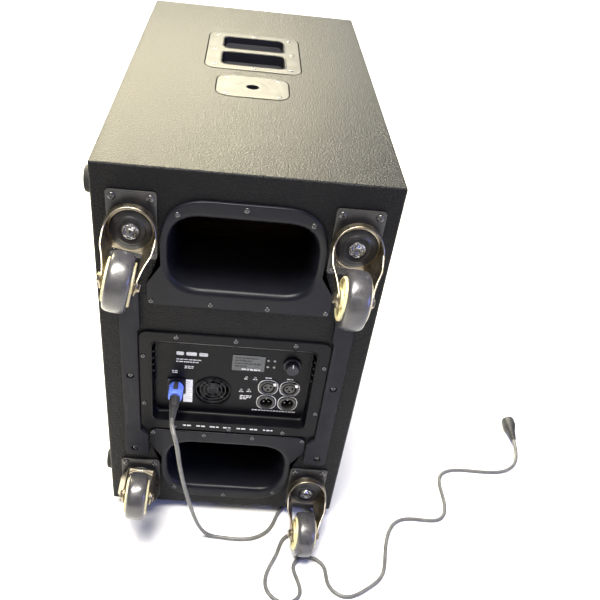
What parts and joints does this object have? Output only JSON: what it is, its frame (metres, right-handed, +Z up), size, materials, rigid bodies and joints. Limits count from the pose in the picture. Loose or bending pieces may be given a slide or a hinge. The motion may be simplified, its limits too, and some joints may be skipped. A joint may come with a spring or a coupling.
{
  "type": "powered subwoofer",
  "caption": "Powered bass speaker: deep black coated cabinet with rear ports, recessed amplifier panel, rear swivel casters, top grip handle, pole socket and a mains lead.",
  "frame": {"origin": "on the floor under the middle of the object's own box, the mains lead left out", "axes": "+Z up, the rear face with the amplifier, ports and casters looks along -Y, the grille along +Y"},
  "size_m": [0.8062, 0.9103, 0.6328],
  "materials": {
    "coating": "coarse sprayed black texture coating on plywood, semi-matt",
    "plywood": "bare birch plywood",
    "black_steel": "black powder coat",
    "foot_rubber": "matt black rubber",
    "moulding": "satin dark grey moulded plastic",
    "rub_strip": "satin slate grey plastic",
    "amp_panel": "fine black powder coat",
    "aluminium": "mill finish",
    "board": "green solder mask",
    "knob_plastic": "soft-touch black",
    "display": "grey green display window",
    "bright_steel": "plated",
    "zinc_steel": "zinc plated, slightly yellowed",
    "wheel_tread": "grey thermoplastic rubber",
    "cone": "coated paper",
    "plug_blue": "satin blue",
    "cord_jacket": "grey black jacket"
  },
  "bodies": {
    "root": {"top_panel": "coating", "bottom_panel": "coating", "left_panel": "coating", "right_panel": "coating", "rear_panel": "coating", "front_baffle": "coating", "rear_driver_baffle": "plywood", "front_driver_baffle": "plywood", "front_grille": "black_steel", "driver_frame_rear": "black_steel", "driver_frame_front": "black_steel", "xlr_input_a": "black_steel", "xlr_input_b": "black_steel", "xlr_output_a": "black_steel", "xlr_output_b": "black_steel", "caster_plate_upper_left": "black_steel", "caster_plate_upper_right": "black_steel", "caster_plate_lower_left": "black_steel", "caster_plate_lower_right": "black_steel", "bottom_foot_rear_left": "foot_rubber", "bottom_foot_rear_right": "foot_rubber", "bottom_foot_front_left": "foot_rubber", "bottom_foot_front_right": "foot_rubber", "side_foot_rear_lower": "foot_rubber", "side_foot_rear_upper": "foot_rubber", "side_foot_front_lower": "foot_rubber", "side_foot_front_upper": "foot_rubber", "mains_plug": "foot_rubber", "top_handle": "moulding", "pole_socket": "moulding", "upper_port": "moulding", "lower_port": "moulding", "power_inlet": "moulding", "left_skid": "rub_strip", "right_skid": "rub_strip", "amp_tray": "amp_panel", "amp_chassis": "aluminium", "amp_board": "board", "display_window": "display", "power_plug": "plug_blue", "power_cord": "cord_jacket"},
    "swivel_upper_left": {"caster_fork_upper_left": "zinc_steel", "caster_axle_upper_left": "zinc_steel"},
    "wheel_upper_left": {"caster_wheel_upper_left": "wheel_tread"},
    "swivel_upper_right": {"caster_fork_upper_right": "zinc_steel", "caster_axle_upper_right": "zinc_steel"},
    "wheel_upper_right": {"caster_wheel_upper_right": "wheel_tread"},
    "swivel_lower_left": {"caster_fork_lower_left": "zinc_steel", "caster_axle_lower_left": "zinc_steel"},
    "wheel_lower_left": {"caster_wheel_lower_left": "wheel_tread"},
    "swivel_lower_right": {"caster_fork_lower_right": "zinc_steel", "caster_axle_lower_right": "zinc_steel"},
    "wheel_lower_right": {"caster_wheel_lower_right": "wheel_tread"},
    "fan": {"fan_rotor": "knob_plastic"},
    "encoder": {"encoder_shaft": "bright_steel"},
    "knob": {"control_knob": "knob_plastic"},
    "latch_a": {"xlr_latch_a": "bright_steel"},
    "latch_b": {"xlr_latch_b": "bright_steel"},
    "cone_rear": {"driver_cone_rear": "cone"},
    "cone_front": {"driver_cone_front": "cone"}
  },
  "joints": [
    {"name": "caster_swivel_upper_left", "type": "hinge", "parent": "root", "child": "swivel_upper_left", "pos_m": [-0.133, -0.30875, 0.553], "axis": [0, -1, 0], "continuous": true},
    {"name": "caster_spin_upper_left", "type": "hinge", "parent": "swivel_upper_left", "child": "wheel_upper_left", "pos_m": [-0.14025, -0.38175, 0.5157], "axis": [0.9816, 0, -0.1908], "continuous": true},
    {"name": "caster_swivel_upper_right", "type": "hinge", "parent": "root", "child": "swivel_upper_right", "pos_m": [0.147, -0.30875, 0.553], "axis": [0, -1, 0], "continuous": true},
    {"name": "caster_spin_upper_right", "type": "hinge", "parent": "swivel_upper_right", "child": "wheel_upper_right", "pos_m": [0.14369, -0.38175, 0.51514], "axis": [0.9962, 0, -0.0872], "continuous": true},
    {"name": "caster_swivel_lower_left", "type": "hinge", "parent": "root", "child": "swivel_lower_left", "pos_m": [-0.133, -0.30875, 0.08], "axis": [0, -1, 0], "continuous": true},
    {"name": "caster_spin_lower_left", "type": "hinge", "parent": "swivel_lower_left", "child": "wheel_lower_left", "pos_m": [-0.12969, -0.38175, 0.11786], "axis": [-0.9962, 0, 0.0872], "continuous": true},
    {"name": "caster_swivel_lower_right", "type": "hinge", "parent": "root", "child": "swivel_lower_right", "pos_m": [0.147, -0.30875, 0.08], "axis": [0, -1, 0], "continuous": true},
    {"name": "caster_spin_lower_right", "type": "hinge", "parent": "swivel_lower_right", "child": "wheel_lower_right", "pos_m": [0.14435, -0.38175, 0.04209], "axis": [0.9976, 0, -0.0698], "continuous": true},
    {"name": "fan_spin", "type": "hinge", "parent": "root", "child": "fan", "pos_m": [-0.0217, -0.28125, 0.27], "axis": [0, -1, 0], "continuous": true},
    {"name": "knob_push", "type": "slide", "parent": "root", "child": "encoder", "axis": [0, 1, 0], "range_m": [0, 0.0008], "stiffness_N_per_m": 1500},
    {"name": "knob_turn", "type": "hinge", "parent": "encoder", "child": "knob", "pos_m": [0.0937, -0.30075, 0.333], "axis": [0, -1, 0], "continuous": true},
    {"name": "latch_push_a", "type": "slide", "parent": "root", "child": "latch_a", "axis": [0, 1, 0], "range_m": [0, 0.0015], "stiffness_N_per_m": 2000},
    {"name": "latch_push_b", "type": "slide", "parent": "root", "child": "latch_b", "axis": [0, 1, 0], "range_m": [0, 0.0015], "stiffness_N_per_m": 2000},
    {"name": "cone_travel_rear", "type": "slide", "parent": "root", "child": "cone_rear", "axis": [0, 1, 0], "range_m": [-0.008, 0.008], "stiffness_N_per_m": 5000},
    {"name": "cone_travel_front", "type": "slide", "parent": "root", "child": "cone_front", "axis": [0, 1, 0], "range_m": [-0.008, 0.008], "stiffness_N_per_m": 5000}
  ]
}
